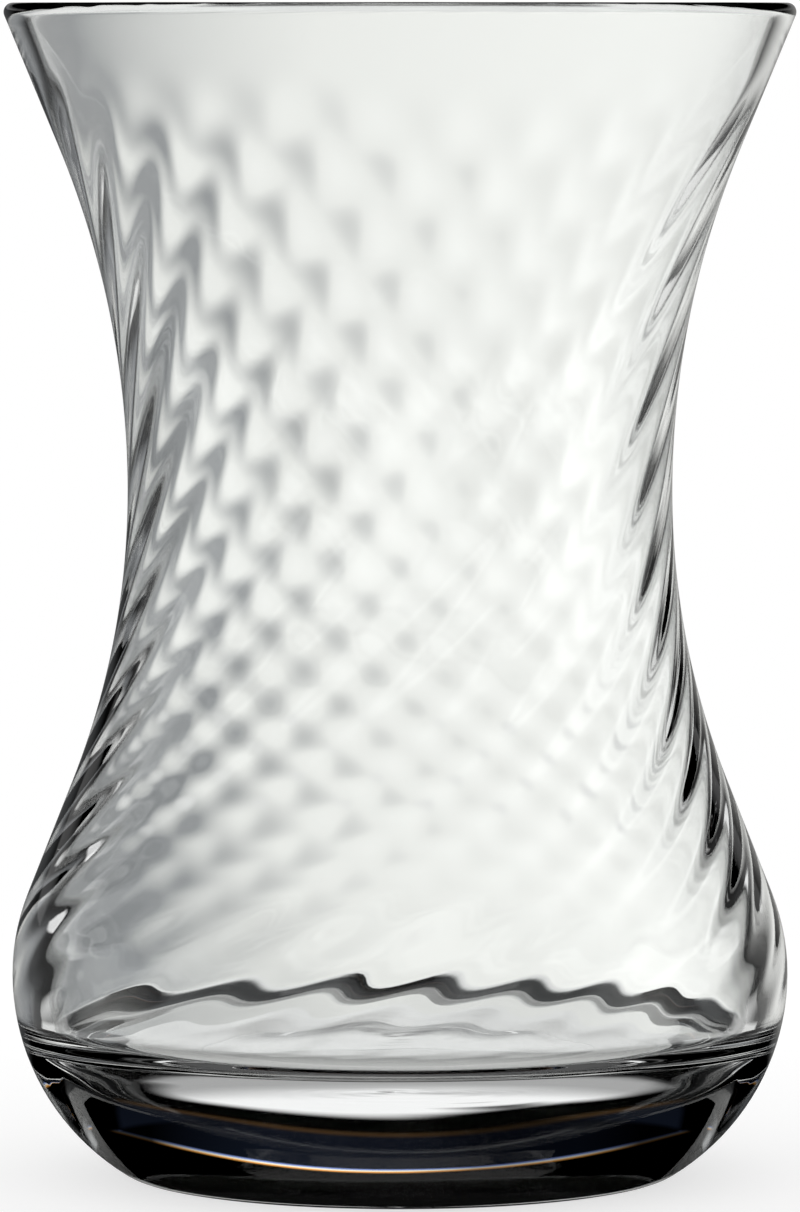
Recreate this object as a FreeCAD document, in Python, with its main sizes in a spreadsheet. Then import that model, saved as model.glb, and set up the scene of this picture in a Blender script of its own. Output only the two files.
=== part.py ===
"""Tulip-shaped Turkish tea glass: one piece of clear glass, standing on its foot.

The glass stands on the plane Z = 0 with its axis on Z. Its outside is plain and turned. The inside
is lined with shallow upright ribs that twist round the axis, as a ribbed and twisted gather of
glass leaves them, and that fade out at the floor and under the lip.
"""
import FreeCAD, Part
import math
import os

import Sketcher
from FreeCAD import Vector

# Driving sizes, in millimetres and degrees.
SIZES = {
    # Overall form, outside
    "height": 86.0,
    "rim_radius": 28.92,
    "waist_radius": 19.96,
    "waist_height": 50.4,
    "belly_radius": 28.5,
    "belly_height": 14.8,
    "foot_radius": 19.08,  # the flat it stands on
    "foot_round": 2.83,  # leads from the flat into the round below the belly
    "shoulder_radius": 15.9,  # the round above the belly
    "slope_straight": 8.9,  # straight stretch between shoulder and waist
    "flare_straight": 10.3,  # straight stretch between waist and lip
    "punt_radius": 14.5,  # shallow hollow under the foot
    "punt_depth": 0.7,
    # Inside
    "floor_height": 10.3,
    "corner_radius": 2.1,  # between the floor and the inner heel
    "corner_turn": 82.0,  # degrees, of the corner; the inner heel turns the rest upright
    "inner_heel": 19.2,
    "belly_wall": 2.7,
    "inner_shoulder": 13.5,
    "inner_slope": 8.6,
    "waist_wall": 1.15,
    "inner_flare": 11.8,
    # Lip: two equal rounds with a narrow flat between them
    "lip_round": 0.68,
    "lip_flat": 0.1,
    # Ribs inside
    "rib_count": 24,
    "rib_depth": 0.05,  # either way from the plain wall
    "rib_start": 9.0,  # length of wall from the floor's edge over which the ribs rise
    "rib_fade": 8.0,  # length over which they fade out below the plain band
    "plain_band": 3.0,  # under the lip
    "twist_rate": 5.2,  # degrees per millimetre at the foot
    "twist_run": 62.5,  # the height over which the twist slackens to 1/e
}

COLUMNS_PER_RIB = 8
LID_RISE = 0.01  # the cavity's round passes the top by this much, so that it cuts through


def add_sheet(doc):
    """Keep the driving sizes in a spreadsheet, one named cell each."""
    sheet = doc.addObject("Spreadsheet::Sheet", "sizes")
    for row, (name, value) in enumerate(SIZES.items(), start=1):
        sheet.set(f"A{row}", name)
        sheet.set(f"B{row}", str(value))
        sheet.setAlias(f"B{row}", name)
    doc.recompute()
    return sheet


def sway(inset, rise, known_radius, straight):
    """Solve a wall that leaves upright, leans over and is upright again.

    It bends with one radius, runs straight, and bends back with the other radius, so that it has
    gone sideways by inset and up by rise. Returns the second radius and the angle of the lean.
    """
    both_radii = (inset**2 + rise**2 - straight**2) / (2 * inset)
    lean = math.atan2(rise, both_radii - inset) - math.atan2(straight, both_radii)
    return both_radii - known_radius, lean


def lining_stretches(sheet):
    """The stretches of the inside's outline from the floor's edge to the top of the lip.

    Each is (length, turn to the left, steps).
    """
    belly = sheet.belly_radius - sheet.belly_wall
    corner_turn = math.radians(sheet.corner_turn)
    heel_turn = math.pi / 2 - corner_turn
    corner_rise = sheet.corner_radius * (1 - math.cos(corner_turn))
    belly_height = sheet.floor_height + corner_rise + sheet.inner_heel * math.sin(heel_turn)
    waist = sheet.waist_radius - sheet.waist_wall
    mouth = sheet.rim_radius - 2 * sheet.lip_round - sheet.lip_flat
    mouth_height = sheet.height + LID_RISE - sheet.lip_round
    lower_radius, lower_lean = sway(
        belly - waist, sheet.waist_height - belly_height, sheet.inner_shoulder, sheet.inner_slope
    )
    upper_radius, upper_lean = sway(
        mouth - waist, mouth_height - sheet.waist_height, -sheet.lip_round, sheet.inner_flare
    )
    lip_turn = math.pi / 2 - upper_lean
    stretches = [
        (sheet.corner_radius * corner_turn, corner_turn, 6),
        (sheet.inner_heel * heel_turn, heel_turn, 3),
        (sheet.inner_shoulder * lower_lean, lower_lean, 2),
        (sheet.inner_slope, 0, 2),
        (lower_radius * lower_lean, -lower_lean, 5),
        (upper_radius * upper_lean, -upper_lean, 6),
    ]
    # Steps that halve towards the small round of the lip
    stretches += [(sheet.inner_flare * share / 31, 0, 1) for share in (16, 8, 4, 2, 1)]
    stretches.append((sheet.lip_round * lip_turn, -lip_turn, 5))
    return stretches


def floor_radius(sheet):
    """Radius of the flat floor inside, where its round corner begins."""
    lean = math.sin(math.radians(sheet.corner_turn))
    belly = sheet.belly_radius - sheet.belly_wall
    return belly - sheet.corner_radius * lean - sheet.inner_heel * (1 - lean)


def lining_rows(sheet):
    """Walk up the inside's outline: (radius, height, heading, distance walked) at each step."""
    radius = floor_radius(sheet)
    height = sheet.floor_height
    heading = 0.0
    walked = 0.0
    rows = [(radius, height, heading, walked)]
    for length, turn, steps in lining_stretches(sheet):
        step = length / steps
        bend = turn / steps
        chord = step if bend == 0 else 2 * (step / bend) * math.sin(bend / 2)
        for _ in range(steps):
            radius += chord * math.cos(heading + bend / 2)
            height += chord * math.sin(heading + bend / 2)
            heading += bend
            walked += step
            rows.append((radius, height, heading, walked))
    return rows


def smooth(share):
    """Ease from 0 to 1 as share goes from 0 to 1."""
    share = min(max(share, 0.0), 1.0)
    return share * share * (3 - 2 * share)


def rib_strength(sheet, height, walked):
    """How much of its full depth a rib has: none at the floor's edge and under the lip."""
    rising = smooth(walked / sheet.rib_start)
    fading = smooth((sheet.height - sheet.plain_band - height) / sheet.rib_fade)
    return rising * fading


def twist(sheet, height):
    """Angle by which the ribs have turned at this height, in radians."""
    run = sheet.twist_run
    return math.radians(sheet.twist_rate) * run * (1 - math.exp(-height / run))


def lining_surface(sheet):
    """The ribbed inside as one smooth surface, closed round the axis.

    Its columns of control points follow the twist. Round the axis, a smooth closed curve runs
    inside its control points by the factor that `pull` gives.
    """
    rib_count = int(sheet.rib_count)
    count = rib_count * COLUMNS_PER_RIB
    around = 2 * math.pi / count

    def pull(angle):
        return (2 + math.cos(angle)) / 3

    columns = []
    for column in range(count):
        ripple = math.cos(column * 2 * math.pi / COLUMNS_PER_RIB) / pull(rib_count * around)
        points = []
        for radius, height, heading, walked in lining_rows(sheet):
            swell = sheet.rib_depth * rib_strength(sheet, height, walked) * ripple
            ring = (radius + swell * math.sin(heading)) / pull(around)
            angle = column * around + twist(sheet, height)
            points.append(
                Vector(
                    ring * math.cos(angle),
                    ring * math.sin(angle),
                    height - swell * math.cos(heading),
                )
            )
        curve = Part.BSplineCurve()
        curve.interpolate(Points=points, Parameters=[row[3] for row in lining_rows(sheet)])
        columns.append(curve.getPoles())
    surface = Part.BSplineSurface()
    surface.buildFromPolesMultsKnots(
        columns,
        [1] * (count + 1),
        curve.getMultiplicities(),
        [float(knot) for knot in range(count + 1)],
        curve.getKnots(),
        True,
        False,
        3,
        3,
    )
    return surface


def add_cavity(doc, sheet):
    """The space inside the glass, as a solid: its floor, its ribbed lining and a lid."""
    surface = lining_surface(sheet)
    first, last = surface.bounds()[2:]
    floor = Part.Face(Part.Wire([surface.vIso(first).toShape()]))
    lid = Part.Face(Part.Wire([surface.vIso(last).toShape()]))
    shell = Part.Shell([floor, surface.toShape(), lid])
    shell.sewShape()
    solid = Part.Solid(shell)
    if solid.Volume < 0:
        solid.reverse()
    cavity = doc.addObject("Part::Feature", "cavity")
    cavity.Shape = solid
    cavity.Placement = FreeCAD.Placement()
    return cavity


def polar(centre, radius, angle):
    """Point of the outline at this angle round a centre, both given as (radius, height)."""
    return Vector(centre[0] + radius * math.cos(angle), centre[1] + radius * math.sin(angle), 0)


def arc(centre, radius, start, end):
    """Arc of the outline, counter-clockwise."""
    circle = Part.Circle(Vector(centre[0], centre[1], 0), Vector(0, 0, 1), radius)
    return Part.ArcOfCircle(circle, start, end)


def outside_outline(sheet):
    """The closed outline of the outside, from the punt round to the axis, as sketch geometry."""
    belly, belly_height = sheet.belly_radius, sheet.belly_height
    waist, waist_height = sheet.waist_radius, sheet.waist_height
    foot, foot_round = sheet.foot_radius, sheet.foot_round
    shoulder, lip = sheet.shoulder_radius, sheet.lip_round
    lip_height = sheet.height - lip
    lower, lower_lean = sway(
        belly - waist, waist_height - belly_height, shoulder, sheet.slope_straight
    )
    upper, upper_lean = sway(
        sheet.rim_radius - waist, lip_height - waist_height, lip, sheet.flare_straight
    )
    # The foot's round lies inside the heel's round and touches it.
    spread = belly - foot
    drop = belly_height - foot_round
    heel = (spread**2 + drop**2 - foot_round**2) / (2 * (spread - foot_round))
    foot_angle = -math.atan2(drop, heel - spread)
    punt_round = (sheet.punt_radius**2 + sheet.punt_depth**2) / (2 * sheet.punt_depth)

    punt_centre = (0, sheet.punt_depth - punt_round)
    punt_angle = math.atan2(-punt_centre[1], sheet.punt_radius)
    foot_centre = (foot, foot_round)
    heel_centre = (belly - heel, belly_height)
    shoulder_centre = (belly - shoulder, belly_height)
    lower_centre = (waist + lower, waist_height)
    upper_centre = (waist + upper, waist_height)
    lip_centre = (sheet.rim_radius - lip, lip_height)
    crest = Vector(lip_centre[0], sheet.height, 0)
    slope_ends = (
        polar(shoulder_centre, shoulder, lower_lean),
        polar(lower_centre, lower, math.pi + lower_lean),
    )
    flare_ends = (
        polar(upper_centre, upper, math.pi - upper_lean),
        polar(lip_centre, lip, -upper_lean),
    )
    return {
        "punt": arc(punt_centre, punt_round, punt_angle, math.pi / 2),
        "foot": Part.LineSegment(Vector(sheet.punt_radius, 0, 0), Vector(foot, 0, 0)),
        "foot_round": arc(foot_centre, foot_round, -math.pi / 2, foot_angle),
        "heel": arc(heel_centre, heel, foot_angle, 0),
        "shoulder": arc(shoulder_centre, shoulder, 0, lower_lean),
        "slope": Part.LineSegment(*slope_ends),
        "lower_waist": arc(lower_centre, lower, math.pi, math.pi + lower_lean),
        "upper_waist": arc(upper_centre, upper, math.pi - upper_lean, math.pi),
        "flare": Part.LineSegment(*flare_ends),
        "lip": arc(lip_centre, lip, -upper_lean, math.pi / 2),
        "top": Part.LineSegment(crest, Vector(0, sheet.height, 0)),
        "axis": Part.LineSegment(Vector(0, sheet.height, 0), Vector(0, sheet.punt_depth, 0)),
    }


START, END, CENTRE = 1, 2, 3
ORIGIN = (-1, 1)
LEVEL_AXIS, UPRIGHT_AXIS = -1, -2

# Where the outline runs on smoothly from one stretch to the next
TANGENT_JOINTS = [
    ("foot", END, "foot_round", START),
    ("foot_round", END, "heel", START),
    ("heel", END, "shoulder", START),
    ("shoulder", END, "slope", START),
    ("slope", END, "lower_waist", END),
    ("lower_waist", START, "upper_waist", END),
    ("upper_waist", START, "flare", START),
    ("flare", END, "lip", START),
    ("lip", END, "top", START),
]
CORNER_JOINTS = [
    ("punt", START, "foot", START),
    ("top", END, "axis", START),
    ("axis", END, "punt", END),
]


def tie_outline(sketch, index):
    """Join the outline's stretches and set them square to the axis where they are."""
    tie = Sketcher.Constraint
    for first, first_end, second, second_end in TANGENT_JOINTS:
        sketch.addConstraint(tie("Tangent", index[first], first_end, index[second], second_end))
    for first, first_end, second, second_end in CORNER_JOINTS:
        sketch.addConstraint(tie("Coincident", index[first], first_end, index[second], second_end))
    for name, end, line in (
        ("punt", CENTRE, UPRIGHT_AXIS),
        ("punt", END, UPRIGHT_AXIS),
        ("axis", START, UPRIGHT_AXIS),
        ("foot", START, LEVEL_AXIS),
    ):
        sketch.addConstraint(tie("PointOnObject", index[name], end, line))
    for name in ("foot", "top"):
        sketch.addConstraint(tie("Horizontal", index[name]))
    # The wall stands upright at the belly and at the waist.
    for name, end in (("heel", END), ("lower_waist", START)):
        sketch.addConstraint(tie("Horizontal", index[name], CENTRE, index[name], end))


def size_outline(sketch, sheet, index):
    """Give the outline its sizes, each bound to the sheet."""
    sizes = {
        "foot_round": ("sizes.foot_round", "Radius", index["foot_round"]),
        "shoulder": ("sizes.shoulder_radius", "Radius", index["shoulder"]),
        "lip": ("sizes.lip_round", "Radius", index["lip"]),
        "slope": ("sizes.slope_straight", "Distance", index["slope"]),
        "flare": ("sizes.flare_straight", "Distance", index["flare"]),
        "foot_out": ("sizes.foot_radius", "DistanceX", *ORIGIN, index["foot"], END),
        "punt_out": ("sizes.punt_radius", "DistanceX", *ORIGIN, index["punt"], START),
        "punt_up": ("sizes.punt_depth", "DistanceY", *ORIGIN, index["punt"], END),
        "belly_out": ("sizes.belly_radius", "DistanceX", *ORIGIN, index["heel"], END),
        "belly_up": ("sizes.belly_height", "DistanceY", *ORIGIN, index["heel"], END),
        "waist_out": ("sizes.waist_radius", "DistanceX", *ORIGIN, index["lower_waist"], START),
        "waist_up": ("sizes.waist_height", "DistanceY", *ORIGIN, index["lower_waist"], START),
        "lip_out": (
            "sizes.rim_radius - sizes.lip_round", "DistanceX", *ORIGIN, index["lip"], CENTRE
        ),
        "lip_up": ("sizes.height", "DistanceY", *ORIGIN, index["lip"], END),
    }
    for name, (formula, kind, *places) in sizes.items():
        value = float(sheet.evalExpression(formula))
        place = sketch.addConstraint(Sketcher.Constraint(kind, *places, value))
        sketch.renameConstraint(place, name)
        sketch.setExpression(f"Constraints.{name}", formula)


def origin_part(body, role):
    """The plane or axis of a body's origin that has this role."""
    return next(part for part in body.Origin.OriginFeatures if part.Role == role)


def add_turned_form(doc, sheet):
    """The glass's outside as a solid of revolution, still full inside."""
    body = doc.addObject("PartDesign::Body", "turned_form")
    sketch = body.newObject("Sketcher::SketchObject", "outside")
    sketch.AttachmentSupport = (origin_part(body, "XZ_Plane"), [""])
    sketch.MapMode = "FlatFace"
    outline = outside_outline(sheet)
    sketch.addGeometry(list(outline.values()), False)
    index = {name: place for place, name in enumerate(outline)}
    tie_outline(sketch, index)
    size_outline(sketch, sheet, index)
    turned = body.newObject("PartDesign::Revolution", "turned")
    turned.Profile = sketch
    turned.ReferenceAxis = (sketch, ["V_Axis"])
    turned.Angle = 360
    body.Tip = turned
    doc.recompute()
    return body


def add_glass(doc, body, cavity):
    """The glass itself: the turned form less its cavity."""
    glass = doc.addObject("Part::Cut", "glass")
    glass.Base = body
    glass.Tool = cavity
    glass.Label = "glass"
    glass.Placement = FreeCAD.Placement()
    doc.recompute()
    return glass


def check(doc, parts):
    """Stop if any object failed, or if a part is empty, broken or in more than one piece."""
    for item in doc.Objects:
        if "Invalid" in item.State or "Error" in item.State:
            raise RuntimeError(f"{item.Label} failed: {item.State}")
    for part in parts:
        shape = part.Shape
        if shape.isNull() or not shape.isValid() or len(shape.Solids) != 1:
            raise RuntimeError(f"{part.Label} is not one valid solid")


def main():
    doc = FreeCAD.newDocument("turkish_tea_glass")
    sheet = add_sheet(doc)
    body = add_turned_form(doc, sheet)
    cavity = add_cavity(doc, sheet)
    glass = add_glass(doc, body, cavity)
    check(doc, [glass])
    if glass.Shape.Volume > 0.9 * body.Shape.Volume:
        raise RuntimeError("the cavity wasn't cut out of the glass")
    os.makedirs("parts", exist_ok=True)
    glass.Shape.exportStep(f"parts/{glass.Label}.step")
    box = glass.Shape.optimalBoundingBox(True, False)
    print(f"{glass.Label}: {glass.Shape.Volume:.0f} mm3, {box.XLength:.2f} x {box.YLength:.2f}"
          f" x {box.ZLength:.2f} mm, cavity {cavity.Shape.Volume / 1000:.1f} ml")


main()
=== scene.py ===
"""Looks of the tulip-shaped tea glass: clear glass, twisted ribs inside, soft studio light."""
import math

import bpy
import numpy as np
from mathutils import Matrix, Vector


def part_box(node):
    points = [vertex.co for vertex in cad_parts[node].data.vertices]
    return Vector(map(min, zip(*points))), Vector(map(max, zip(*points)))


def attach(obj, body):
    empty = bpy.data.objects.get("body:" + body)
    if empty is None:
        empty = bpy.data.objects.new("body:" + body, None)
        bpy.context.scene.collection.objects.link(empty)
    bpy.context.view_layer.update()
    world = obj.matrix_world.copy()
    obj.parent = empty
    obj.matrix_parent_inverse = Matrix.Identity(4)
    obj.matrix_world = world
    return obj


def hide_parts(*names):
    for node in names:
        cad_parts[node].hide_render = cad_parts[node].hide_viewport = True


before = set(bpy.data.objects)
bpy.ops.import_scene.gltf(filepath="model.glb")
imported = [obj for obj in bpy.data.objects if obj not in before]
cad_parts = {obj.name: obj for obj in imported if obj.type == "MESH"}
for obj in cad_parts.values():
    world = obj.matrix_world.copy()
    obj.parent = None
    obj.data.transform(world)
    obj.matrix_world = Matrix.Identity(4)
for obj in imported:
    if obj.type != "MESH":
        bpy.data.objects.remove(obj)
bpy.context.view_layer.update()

# ---------------------------------------------------------------------------------------------
# Sizes of the glass, in millimetres and degrees, as in the CAD model unless a comment says not
# ---------------------------------------------------------------------------------------------
HEIGHT = 86.0
RIM_RADIUS = 28.92
WAIST_RADIUS, WAIST_HEIGHT = 19.96, 50.4
BELLY_RADIUS, BELLY_HEIGHT = 28.5, 14.8
FOOT_RADIUS = 19.08
FOOT_ROUND = 2.83
SHOULDER_RADIUS = 15.9
SLOPE_STRAIGHT = 8.9
FLARE_STRAIGHT = 10.3
PUNT_RADIUS = 14.5
PUNT_DEPTH = 0.7

FLOOR_HEIGHT = 10.3
CORNER_RADIUS, CORNER_TURN = 2.1, 82.0
INNER_HEEL = 19.2
BELLY_WALL = 2.7
INNER_SHOULDER = 13.5
INNER_SLOPE = 8.6
WAIST_WALL = 1.15
INNER_FLARE = 11.8
LIP_ROUND, LIP_FLAT = 0.68, 0.1

RIB_COUNT = 24
RIB_DEPTH = 0.044  # 0.05 in the CAD model
RIB_START = 20.0  # 9 in the CAD model
RIB_FADE = 8.0
PLAIN_BAND = 3.0
TWIST_RATE, TWIST_RUN = 5.2, 62.5

# How uneven the ribs' depth is, which the CAD model leaves out: the share that comes and goes,
# and its waves as (times round the glass, millimetres of height to a radian)
RIB_WANDER = 0.12
WANDER_WAVES = ((3, 9.0), (7, -6.0))

# The floor's round mark and slow waves, which the CAD model leaves out too
MARK_RADIUS, MARK_STEP, MARK_DEPTH = 3.6, 1.3, 0.012
MARK_OFFSET, MARK_SPREAD = 0.9, 2.2
WAVE_DEPTH = 0.012
WAVE_ACROSS, WAVE_ALONG, WAVE_OUTWARD = 2.6, 3.4, 2.1  # millimetres to a radian
WAVE_SHIFT, OUTWARD_SHARE, OUTWARD_TIMES = 0.8, 0.6, 2
WAVES_END = 40.0  # the slope at which they have faded out

# How finely the mesh is divided
COLUMNS_PER_RIB = 12
ROW_STEP, WALL_STEP, PUNT_STEP = 0.6, 0.9, 1.2
TURN_STEP = 9.0
RIGHT_ANGLE = math.pi / 2

low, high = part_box("glass")
MM = (high[2] - low[2]) / HEIGHT  # metres of the frame to a millimetre of the sizes above


# ---------------------------------------------------------------------------------------------
# Outlines
# ---------------------------------------------------------------------------------------------
def sway(inset, rise, known_radius, straight):
    """Second radius and lean of a wall that leans over between two upright places."""
    both_radii = (inset**2 + rise**2 - straight**2) / (2 * inset)
    lean = math.atan2(rise, both_radii - inset) - math.atan2(straight, both_radii)
    return both_radii - known_radius, lean


def bend(radius, turn):
    """A round stretch of an outline, as (length, turn to the left)."""
    return radius * abs(turn), turn


def straight(length):
    """A straight stretch of an outline."""
    return length, 0.0


def walk(radius, height, heading, stretches, step):
    """Points along an outline: (radius, height, heading, distance walked)."""
    walked = 0.0
    rows = [(radius, height, heading, walked)]
    for length, turn in stretches:
        count = max(1, math.ceil(length / step), math.ceil(abs(turn) / math.radians(TURN_STEP)))
        part_turn = turn / count
        chord = length / count
        if turn:
            chord *= math.sin(part_turn / 2) / (part_turn / 2)
        for _ in range(count):
            radius += chord * math.cos(heading + part_turn / 2)
            height += chord * math.sin(heading + part_turn / 2)
            heading += part_turn
            walked += length / count
            rows.append((radius, height, heading, walked))
    return np.array(rows)


def outside_rows():
    """The outside's outline, from the middle of the punt to the top of the lip."""
    punt_round = (PUNT_RADIUS**2 + PUNT_DEPTH**2) / (2 * PUNT_DEPTH)
    punt_turn = math.asin(PUNT_RADIUS / punt_round)
    spread = BELLY_RADIUS - FOOT_RADIUS
    drop = BELLY_HEIGHT - FOOT_ROUND
    heel = (spread**2 + drop**2 - FOOT_ROUND**2) / (2 * (spread - FOOT_ROUND))
    foot_turn = math.atan2(heel - spread, drop)
    lower, lower_lean = sway(
        BELLY_RADIUS - WAIST_RADIUS, WAIST_HEIGHT - BELLY_HEIGHT, SHOULDER_RADIUS, SLOPE_STRAIGHT
    )
    upper, upper_lean = sway(
        RIM_RADIUS - WAIST_RADIUS, HEIGHT - LIP_ROUND - WAIST_HEIGHT, LIP_ROUND, FLARE_STRAIGHT
    )
    punt = walk(0.0, PUNT_DEPTH, 0.0, [bend(punt_round, -punt_turn)], PUNT_STEP)
    wall = walk(
        PUNT_RADIUS,
        0.0,
        0.0,
        [
            straight(FOOT_RADIUS - PUNT_RADIUS),
            bend(FOOT_ROUND, foot_turn),
            bend(heel, RIGHT_ANGLE - foot_turn),
            bend(SHOULDER_RADIUS, lower_lean),
            straight(SLOPE_STRAIGHT),
            bend(lower, -lower_lean),
            bend(upper, -upper_lean),
            straight(FLARE_STRAIGHT),
            bend(LIP_ROUND, RIGHT_ANGLE + upper_lean),
        ],
        WALL_STEP,
    )
    return np.vstack([punt, wall[1:]])


def floor_radius():
    """Radius of the flat floor inside, where its round corner begins."""
    lean = math.sin(math.radians(CORNER_TURN))
    return BELLY_RADIUS - BELLY_WALL - CORNER_RADIUS * lean - INNER_HEEL * (1 - lean)


def inside_rows():
    """The inside's outline, from the middle of the floor to the top of the lip."""
    belly = BELLY_RADIUS - BELLY_WALL
    waist = WAIST_RADIUS - WAIST_WALL
    mouth = RIM_RADIUS - 2 * LIP_ROUND - LIP_FLAT
    corner_turn = math.radians(CORNER_TURN)
    corner_rise = CORNER_RADIUS * (1 - math.cos(corner_turn)) + INNER_HEEL * math.cos(corner_turn)
    lower, lower_lean = sway(
        belly - waist, WAIST_HEIGHT - FLOOR_HEIGHT - corner_rise, INNER_SHOULDER, INNER_SLOPE
    )
    upper, upper_lean = sway(
        mouth - waist, HEIGHT - LIP_ROUND - WAIST_HEIGHT, -LIP_ROUND, INNER_FLARE
    )
    return walk(
        0.0,
        FLOOR_HEIGHT,
        0.0,
        [
            straight(floor_radius()),
            bend(CORNER_RADIUS, corner_turn),
            bend(INNER_HEEL, RIGHT_ANGLE - corner_turn),
            bend(INNER_SHOULDER, lower_lean),
            straight(INNER_SLOPE),
            bend(lower, -lower_lean),
            bend(upper, -upper_lean),
            straight(INNER_FLARE),
            bend(LIP_ROUND, upper_lean - RIGHT_ANGLE),
        ],
        ROW_STEP,
    )


def smooth(share):
    """Ease from 0 to 1 as share goes from 0 to 1."""
    share = np.clip(share, 0.0, 1.0)
    return share * share * (3 - 2 * share)


def twist(height):
    """Angle by which the ribs have turned at this height, in radians."""
    return math.radians(TWIST_RATE) * TWIST_RUN * (1 - np.exp(-height / TWIST_RUN))


# ---------------------------------------------------------------------------------------------
# The glass as one mesh
# ---------------------------------------------------------------------------------------------
def ring_points(rows, turns, columns):
    """Points of every ring: an array of rows by columns by XYZ."""
    around = np.arange(columns) * 2 * math.pi / columns
    angle = turns[:, None] + around[None, :]
    radius, height = rows[:, 0], rows[:, 1]
    points = np.empty((len(rows), columns, 3))
    points[..., 0] = radius[:, None] * np.cos(angle)
    points[..., 1] = radius[:, None] * np.sin(angle)
    points[..., 2] = height[:, None]
    return points


def floor_waves(ring, angle, heading):
    """The floor's slight unevenness: the plunger's round mark and a few slow waves."""
    across = ring * np.cos(angle) - MARK_OFFSET
    along = ring * np.sin(angle)
    from_mark = np.hypot(across, along) - MARK_RADIUS
    mark = np.cos(2 * math.pi * from_mark / MARK_STEP)
    mark = mark * np.exp(-((from_mark / MARK_SPREAD) ** 2))
    slow = np.sin(across / WAVE_ACROSS + WAVE_SHIFT) * np.sin(along / WAVE_ALONG)
    slow = slow + OUTWARD_SHARE * np.sin(ring / WAVE_OUTWARD + OUTWARD_TIMES * angle)
    end = math.radians(WAVES_END)
    return smooth((end - heading) / end) * (MARK_DEPTH * mark + WAVE_DEPTH * slow)


def ribbed_inside(columns):
    """The lining's rings, with the ribs pressed into it along its own normal."""
    rows = inside_rows()
    radius, height, heading, walked = rows.T
    strength = smooth((walked - floor_radius()) / RIB_START)
    strength = strength * smooth((HEIGHT - PLAIN_BAND - height) / RIB_FADE)
    around = np.arange(columns) * 2 * math.pi / columns
    wander = 1
    for times, run in WANDER_WAVES:
        wander = wander + RIB_WANDER * np.sin(times * around[None, :] + height[:, None] / run)
    swell = RIB_DEPTH * strength[:, None] * np.cos(RIB_COUNT * around)[None, :] * wander
    ring = radius[:, None] + swell * np.sin(heading)[:, None]
    level = height[:, None] - swell * np.cos(heading)[:, None]
    level = level + floor_waves(ring, around[None, :], heading[:, None])
    angle = twist(height)[:, None] + around[None, :]
    return np.stack([ring * np.cos(angle), ring * np.sin(angle), level], axis=-1)


def skin_faces(first, rings, columns, flip):
    """Quads between the rings of a skin whose first point has this number."""
    faces = []
    for ring in range(rings - 1):
        base = first + ring * columns
        for column in range(columns):
            following = (column + 1) % columns
            quad = (
                base + column,
                base + following,
                base + columns + following,
                base + columns + column,
            )
            faces.append(quad[::-1] if flip else quad)
    return faces


def fan_faces(pole, first, columns, flip):
    """Triangles between a point on the axis and a ring."""
    faces = []
    for column in range(columns):
        corner = (pole, first + (column + 1) % columns, first + column)
        faces.append(corner[::-1] if flip else corner)
    return faces


def build_glass():
    """One closed mesh: the outside, the lip and the ribbed inside."""
    columns = RIB_COUNT * COLUMNS_PER_RIB
    outside = outside_rows()
    turns = np.full(len(outside), float(twist(HEIGHT)))
    outer = ring_points(outside[1:], turns[1:], columns)
    inner = ribbed_inside(columns)[1:]
    points = np.vstack(
        [
            [(0, 0, PUNT_DEPTH), (0, 0, FLOOR_HEIGHT)],
            outer.reshape(-1, 3),
            inner[::-1].reshape(-1, 3),
        ]
    )
    rings = len(outer) + len(inner)
    faces = skin_faces(2, rings, columns, flip=False)
    faces += fan_faces(0, 2, columns, flip=False)
    faces += fan_faces(1, 2 + (rings - 1) * columns, columns, flip=True)
    mesh = bpy.data.meshes.new("tea_glass")
    mesh.from_pydata((points * MM).tolist(), [], faces)
    mesh.validate()
    mesh.shade_smooth()
    piece = bpy.data.objects.new("tea_glass", mesh)
    bpy.context.collection.objects.link(piece)
    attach(piece, "root")
    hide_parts("glass")
    return piece


GLASS_COLOUR = (0.985, 0.995, 0.992)
GLASS_INDEX = 1.52


def glass_material():
    """Clear glass."""
    material = bpy.data.materials.new("clear_glass")
    material.use_nodes = True
    shader = material.node_tree.nodes["Principled BSDF"]
    shader.inputs["Base Color"].default_value = (*GLASS_COLOUR, 1)
    shader.inputs["Roughness"].default_value = 0.0
    shader.inputs["IOR"].default_value = GLASS_INDEX
    shader.inputs["Transmission Weight"].default_value = 1.0
    return material


# ---------------------------------------------------------------------------------------------
# Studio: camera, floor, light
# ---------------------------------------------------------------------------------------------
CAMERA_DISTANCE, CAMERA_HEIGHT = 610.0, 85.3
CAMERA_TILT = 4.076
LENS = 247.5
SENSOR = 36.0


def add_camera():
    """Level with the rim, looking slightly down, from far enough away for a flat view."""
    data = bpy.data.cameras.new("camera")
    data.lens = LENS
    data.sensor_width = SENSOR
    data.sensor_fit = "AUTO"
    data.clip_start = 0.01
    camera = bpy.data.objects.new("camera", data)
    bpy.context.collection.objects.link(camera)
    camera.location = (0, -CAMERA_DISTANCE * MM, CAMERA_HEIGHT * MM)
    camera.rotation_euler = (RIGHT_ANGLE - math.radians(CAMERA_TILT), 0, 0)
    bpy.context.scene.camera = camera


def math_node(tree, operation, *values):
    """A Math node whose inputs are numbers or other nodes' outputs; returns its output."""
    node = tree.nodes.new("ShaderNodeMath")
    node.operation = operation
    for socket, value in zip(node.inputs, values):
        if isinstance(value, (int, float)):
            socket.default_value = value
        else:
            tree.links.new(value, socket)
    return node.outputs[0]


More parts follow.
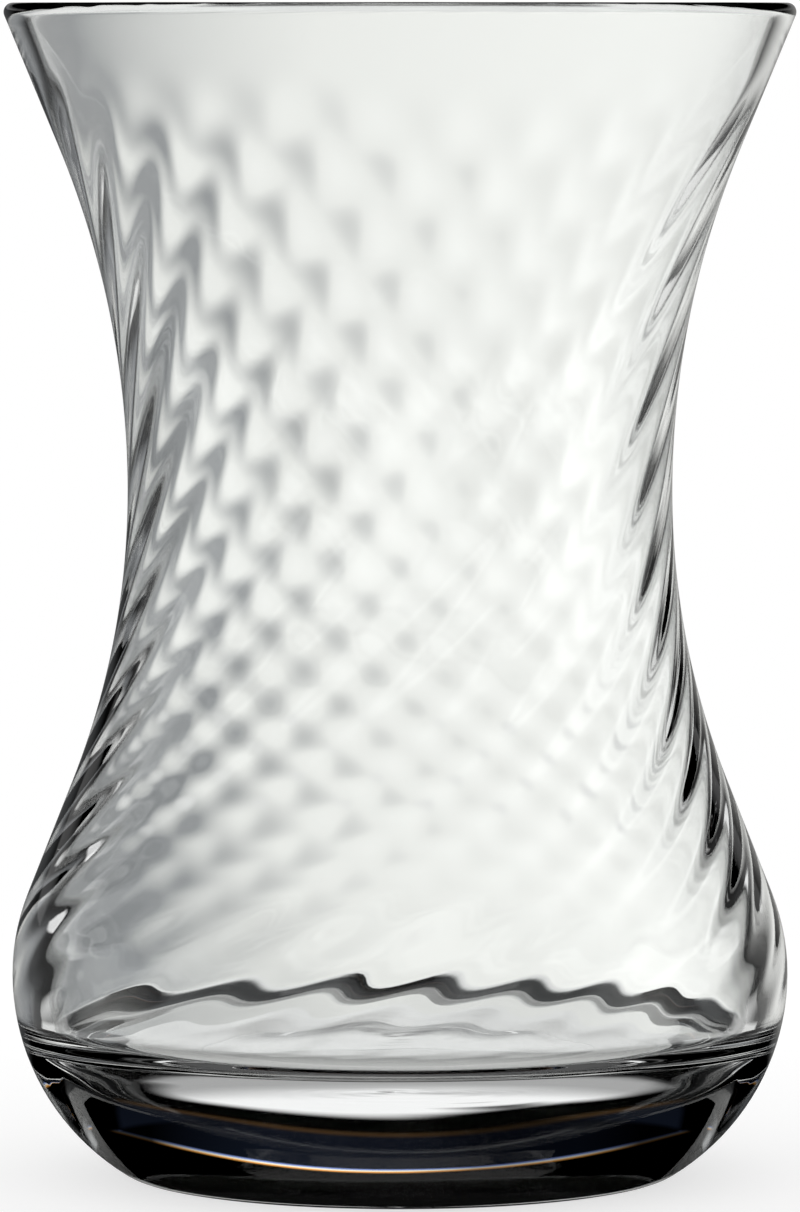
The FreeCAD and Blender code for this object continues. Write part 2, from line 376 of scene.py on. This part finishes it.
def ramp_node(tree, value, stops):
    """A colour ramp with (place, colour) stops."""
    node = tree.nodes.new("ShaderNodeValToRGB")
    ramp = node.color_ramp
    ramp.interpolation = "LINEAR"
    while len(ramp.elements) < len(stops):
        ramp.elements.new(0.5)
    for element, (place, colour) in zip(ramp.elements, stops):
        element.position = place
        element.color = (*colour, 1)
    tree.links.new(value, node.inputs[0])
    return node.outputs[0]


PANELS = 4
PANEL_SPAN = 360 / PANELS  # degrees
BLACK = (0, 0, 0)
WHITE = (1, 1, 1)

# A panel from left to right: a grey margin, a soft step up to white, and a soft right edge, as
# (degrees from its middle, colour)
DARK = (0.03, 0.03, 0.03)
GREY = (0.32, 0.33, 0.34)
NEAR_WHITE = (0.95, 0.95, 0.92)
BRIGHT = (1.15, 1.15, 1.12)
PANEL = [
    (-30, DARK),
    (-20, GREY),
    (-8, GREY),
    (-1, NEAR_WHITE),
    (8, BRIGHT),
    (15, BRIGHT),
    (32, DARK),
]

# What takes the panels' place higher up: a wider white band, the same band in grey, darkness and
# a dim ceiling, each with its lower edge and half of that edge's softness, in degrees
BAND_HALF, BAND_EDGE = 38.0, 2.0
BAND_ABOVE, BAND_SOFT = 4.3, 0.3
GREY_ABOVE, GREY_SOFT = 7.6, 0.7
BAND_GREY = (0.42, 0.42, 0.42)
DARK_ABOVE, DARK_SOFT = 10.0, 0.3
CEILING_ABOVE, CEILING_SOFT = 30.0, 3.0
CEILING = (0.09, 0.09, 0.09)

# A white table goes all round below, and shows higher up between the panels
TABLE_BELOW, TABLE_SOFT = -12.5, 2.5
TABLE = (0.85, 0.85, 0.84)
DIAGONAL, DIAGONAL_EDGE, DIAGONAL_RISE = 33.0, 4.0, 5.5

UPWARD_SPAN = 90.0  # degrees that the ramps cover, half of them below the horizon
REFLECTION_LOSS = 0.75  # the glass's outside mirrors a darker room than the one seen through it


def at(value, start, end):
    """Where a value lies between two others, from 0 to 1."""
    return (value - start) / (end - start)


def spread_ramp(tree, value, start, end, stops):
    """A colour ramp whose places run from start to end as the value goes from 0 to 1."""
    return ramp_node(tree, value, [(at(place, start, end), colour) for place, colour in stops])


def panel_ramp(tree, across, stops):
    """A colour ramp over the degrees to the left and right of a panel's middle."""
    return spread_ramp(tree, across, -PANEL_SPAN / 2, PANEL_SPAN / 2, stops)


def upward_ramp(tree, upward, stops):
    """A colour ramp over the degrees above and below the horizon."""
    return spread_ramp(tree, upward, -UPWARD_SPAN / 2, UPWARD_SPAN / 2, stops)


def seen_through_glass(tree):
    """1 for a ray that has been through the glass or off its surface, 0 for any other."""
    path = tree.nodes.new("ShaderNodeLightPath")
    return math_node(
        tree, "MAXIMUM", path.outputs["Is Transmission Ray"], path.outputs["Is Glossy Ray"]
    )


def blend_colours(tree, share, first, second):
    """The first colour where share is 0, the second where it is 1."""
    node = tree.nodes.new("ShaderNodeMix")
    node.data_type = "RGBA"
    tree.links.new(share, node.inputs["Factor"])
    for socket, colour in ((node.inputs[6], first), (node.inputs[7], second)):
        if isinstance(colour, tuple):
            socket.default_value = (*colour, 1)
        else:
            tree.links.new(colour, socket)
    return node.outputs[2]


def band(tree, across, colour):
    """A band of this colour, wider than a panel."""
    stops = [
        (-BAND_HALF - BAND_EDGE, BLACK),
        (-BAND_HALF, colour),
        (BAND_HALF, colour),
        (BAND_HALF + BAND_EDGE, BLACK),
    ]
    return panel_ramp(tree, across, stops)


def backdrop(tree, across, upward):
    """The panels and what takes their place higher up."""
    colour = panel_ramp(tree, across, PANEL)
    layers = (
        (BAND_ABOVE, BAND_SOFT, band(tree, across, WHITE)),
        (GREY_ABOVE, GREY_SOFT, band(tree, across, BAND_GREY)),
        (DARK_ABOVE, DARK_SOFT, BLACK),
        (CEILING_ABOVE, CEILING_SOFT, CEILING),
    )
    for height, soft, layer in layers:
        above = upward_ramp(tree, upward, [(height - soft, BLACK), (height + soft, WHITE)])
        colour = blend_colours(tree, above, colour, layer)
    return colour


def table_share(tree, across, upward):
    """1 where the white table shows, 0 above it."""
    sides = [
        (-DIAGONAL - DIAGONAL_EDGE, WHITE),
        (-DIAGONAL, BLACK),
        (DIAGONAL, BLACK),
        (DIAGONAL + DIAGONAL_EDGE, WHITE),
    ]
    diagonal = panel_ramp(tree, across, sides)
    lowered = math_node(tree, "MULTIPLY_ADD", diagonal, -DIAGONAL_RISE / UPWARD_SPAN, upward)
    return upward_ramp(tree, lowered, [(TABLE_BELOW - TABLE_SOFT, WHITE), (TABLE_BELOW, BLACK)])


def mirrored_share(tree):
    """How much the glass's outside dims what it mirrors, and 0 for any other ray."""
    path = tree.nodes.new("ShaderNodeLightPath")
    outside = math_node(tree, "SUBTRACT", 1.0, path.outputs["Is Transmission Ray"])
    mirrored = math_node(tree, "MULTIPLY", path.outputs["Is Glossy Ray"], outside)
    return math_node(tree, "MULTIPLY", mirrored, REFLECTION_LOSS)


def build_world():
    """White for the camera; made-up white panels with dark between for the glass to show."""
    world = bpy.data.worlds.new("studio")
    world.use_nodes = True
    bpy.context.scene.world = world
    tree = world.node_tree
    tree.nodes.clear()
    direction = tree.nodes.new("ShaderNodeTexCoord").outputs["Generated"]
    split = tree.nodes.new("ShaderNodeSeparateXYZ")
    tree.links.new(direction, split.inputs[0])
    azimuth = math_node(tree, "ARCTAN2", split.outputs["Y"], split.outputs["X"])
    turns = math_node(tree, "DIVIDE", azimuth, math.radians(PANEL_SPAN))
    across = math_node(tree, "FRACT", math_node(tree, "ADD", turns, PANELS + 0.5))
    across = math_node(tree, "SUBTRACT", 1.0, across)  # from left to right of a panel's view
    elevation = math_node(tree, "ARCSINE", split.outputs["Z"])
    upward = math_node(tree, "MULTIPLY_ADD", elevation, 1 / math.radians(UPWARD_SPAN), 0.5)

    through = backdrop(tree, across, upward)
    through = blend_colours(tree, table_share(tree, across, upward), through, TABLE)
    through = blend_colours(tree, mirrored_share(tree), through, BLACK)
    colour = blend_colours(tree, seen_through_glass(tree), WHITE, through)
    background = tree.nodes.new("ShaderNodeBackground")
    tree.links.new(colour, background.inputs["Color"])
    output = tree.nodes.new("ShaderNodeOutputWorld")
    tree.links.new(background.outputs[0], output.inputs["Surface"])


KERB_RADIUS, KERB_HEIGHT, KERB_SIDES = 32.0, 10.0, 180
# Painted shade, highlight lines and orange and blue fringes that the kerb lays over what is seen
# through it: (height in millimetres, colour)
KERB_PAINTED_LIGHT = [
    (6.15, BLACK),
    (6.25, (0.95, 0.42, 0.08)),
    (6.35, (1, 0.95, 0.8)),
    (6.45, (0.25, 0.35, 0.75)),
    (6.55, (0.005, 0.007, 0.013)),
    (8.45, (0.004, 0.0055, 0.010)),
    (8.6, (0.045, 0.025, 0.010)),
    (8.75, BLACK),
    (9.2, BLACK),
    (9.4, WHITE),
]
PAINTED_SHADE_PATCHES = 8  # patches round the kerb where it paints the shade, lines and fringes above; between them it paints only a grey shade over what is behind it
PATCH_HALF, PATCH_SOFT = 5.5, 3.0  # degrees
# painted grey shade between the patches, clearing towards the top: (height in millimetres,
# colour)
BETWEEN_CARDS = [(8.0, (0.55, 0.56, 0.57)), (9.5, WHITE)]


def kerb_material():
    """Clear for the camera; paints shade, highlight lines and colour fringes over what is seen
    through or off the glass.
    """
    material = bpy.data.materials.new("painted_light_kerb")
    material.use_nodes = True
    tree = material.node_tree
    tree.nodes.remove(tree.nodes["Principled BSDF"])
    split = tree.nodes.new("ShaderNodeSeparateXYZ")
    tree.links.new(tree.nodes.new("ShaderNodeNewGeometry").outputs["Position"], split.inputs[0])
    height = math_node(tree, "DIVIDE", split.outputs["Z"], KERB_HEIGHT * MM)
    # painted shade, highlight lines and colour fringes by height, at the kerb's dark patches
    painted_bands = spread_ramp(tree, height, 0, KERB_HEIGHT, KERB_PAINTED_LIGHT)
    # painted grey shade between the patches
    between = spread_ramp(tree, height, 0, KERB_HEIGHT, BETWEEN_CARDS)
    turn = math_node(tree, "ARCTAN2", split.outputs["Y"], split.outputs["X"])
    from_patch = math_node(tree, "PINGPONG", turn, math.pi / PAINTED_SHADE_PATCHES)
    edge = math_node(tree, "DIVIDE", from_patch, math.radians(PATCH_HALF + PATCH_SOFT))
    start = PATCH_HALF / (PATCH_HALF + PATCH_SOFT)
    beside = ramp_node(tree, edge, [(start, BLACK), (1.0, WHITE)])
    # painted light and shade of the kerb: the patches' bands, or the grey between them
    painted_tint = blend_colours(tree, beside, painted_bands, between)
    colour = blend_colours(tree, seen_through_glass(tree), WHITE, painted_tint)
    clear = tree.nodes.new("ShaderNodeBsdfTransparent")
    tree.links.new(colour, clear.inputs["Color"])
    tree.links.new(clear.outputs[0], tree.nodes["Material Output"].inputs["Surface"])
    return material


def add_kerb():
    """An invented dark ring round the foot, seen only through or off the glass.

    It paints the base's dark shade, highlight lines and colour fringes, standing in for
    surroundings that aren't known, and was set until the base looked right.
    """
    rings = [
        (KERB_RADIUS * math.cos(turn), KERB_RADIUS * math.sin(turn), height)
        for height in (0.0, KERB_HEIGHT)
        for turn in (2 * math.pi * side / KERB_SIDES for side in range(KERB_SIDES))
    ]
    mesh = bpy.data.meshes.new("kerb")
    faces = skin_faces(0, 2, KERB_SIDES, flip=False)
    mesh.from_pydata((np.array(rings) * MM).tolist(), [], faces)
    kerb = bpy.data.objects.new("kerb", mesh)
    bpy.context.collection.objects.link(kerb)
    kerb.data.materials.append(kerb_material())


FLOOR_SIZE = 400.0  # millimetres from the glass to the floor's edge
FLOOR_SOLID, FLOOR_GONE = 60.0, 170.0  # where the floor starts to fade, and where it has gone
FLOOR_COLOUR = (0.32, 0.32, 0.32)
FLOOR_ROUGHNESS = 0.9
FLOOR_GLOW = 0.7  # for the camera only, so that it lights nothing
# Painted glow under the foot and painted dark shade round it, as the glass shows the floor:
# (millimetres from the axis, colour)
FLOOR_PAINTED_THROUGH_GLASS = [
    (29, (0.62, 0.62, 0.61)),
    (33, (0.15, 0.15, 0.15)),
    (40, (0.10, 0.10, 0.10)),
]
GONE_THROUGH_GLASS = (50.0, 62.0)  # where it fades out there


def fade_out(tree, radius, start, end):
    """0 up to the start, 1 from the end on, and smooth between, in millimetres."""
    node = tree.nodes.new("ShaderNodeMapRange")
    node.interpolation_type = "SMOOTHSTEP"
    node.inputs["From Min"].default_value = start * MM
    node.inputs["From Max"].default_value = end * MM
    tree.links.new(radius, node.inputs["Value"])
    return node.outputs["Result"]


def mix_shaders(tree, share, first, second):
    """The first shader where share is 0, the second where it is 1."""
    node = tree.nodes.new("ShaderNodeMixShader")
    tree.links.new(share, node.inputs[0])
    tree.links.new(first.outputs[0], node.inputs[1])
    tree.links.new(second.outputs[0], node.inputs[2])
    return node


def floor_material():
    """Pale and fading out for the camera; a painted glow and painted shade for the glass to show.
    """
    material = bpy.data.materials.new("pale_floor")
    material.use_nodes = True
    tree = material.node_tree
    path = tree.nodes.new("ShaderNodeLightPath")
    pale = tree.nodes["Principled BSDF"]
    pale.inputs["Base Color"].default_value = (*FLOOR_COLOUR, 1)
    pale.inputs["Roughness"].default_value = FLOOR_ROUGHNESS
    pale.inputs["Emission Color"].default_value = (*WHITE, 1)
    glow = math_node(tree, "MULTIPLY", path.outputs["Is Camera Ray"], FLOOR_GLOW)
    tree.links.new(glow, pale.inputs["Emission Strength"])

    place = tree.nodes.new("ShaderNodeNewGeometry").outputs["Position"]
    length = tree.nodes.new("ShaderNodeVectorMath")
    length.operation = "LENGTH"
    tree.links.new(place, length.inputs[0])
    radius = length.outputs["Value"]
    share = math_node(tree, "DIVIDE", radius, FLOOR_GONE * MM)
    # painted glow under the foot and painted shade round it, seen only through the glass
    painted_floor_glow = tree.nodes.new("ShaderNodeEmission")
    colour = spread_ramp(tree, share, 0, FLOOR_GONE, FLOOR_PAINTED_THROUGH_GLASS)
    tree.links.new(colour, painted_floor_glow.inputs["Color"])
    tree.links.new(path.outputs["Is Transmission Ray"], painted_floor_glow.inputs["Strength"])

    near = mix_shaders(tree, seen_through_glass(tree), pale, painted_floor_glow)
    gone = blend_colours(
        tree,
        seen_through_glass(tree),
        fade_out(tree, radius, FLOOR_SOLID, FLOOR_GONE),
        fade_out(tree, radius, *GONE_THROUGH_GLASS),
    )
    clear = tree.nodes.new("ShaderNodeBsdfTransparent")
    mix = mix_shaders(tree, gone, near, clear)
    tree.links.new(mix.outputs[0], tree.nodes["Material Output"].inputs["Surface"])
    return material


def add_floor():
    """A pale floor that keeps the shadow and fades into the white background."""
    size = FLOOR_SIZE * MM
    corners = [(-size, -size, 0), (size, -size, 0), (size, size, 0), (-size, size, 0)]
    mesh = bpy.data.meshes.new("floor")
    mesh.from_pydata(corners, [], [(0, 1, 2, 3)])
    floor = bpy.data.objects.new("floor", mesh)
    bpy.context.collection.objects.link(floor)
    floor.data.materials.append(floor_material())


BOUNCES, GLOSSY_BOUNCES = 24, 12

bpy.context.scene.view_settings.view_transform = "Standard"
add_camera()
build_world()
add_floor()
add_kerb()
glass = build_glass()
glass.data.materials.append(glass_material())

cycles = bpy.context.scene.cycles
cycles.max_bounces = BOUNCES
cycles.transmission_bounces = BOUNCES
cycles.glossy_bounces = GLOSSY_BOUNCES
cycles.transparent_max_bounces = BOUNCES
cycles.caustics_refractive = False
cycles.caustics_reflective = False
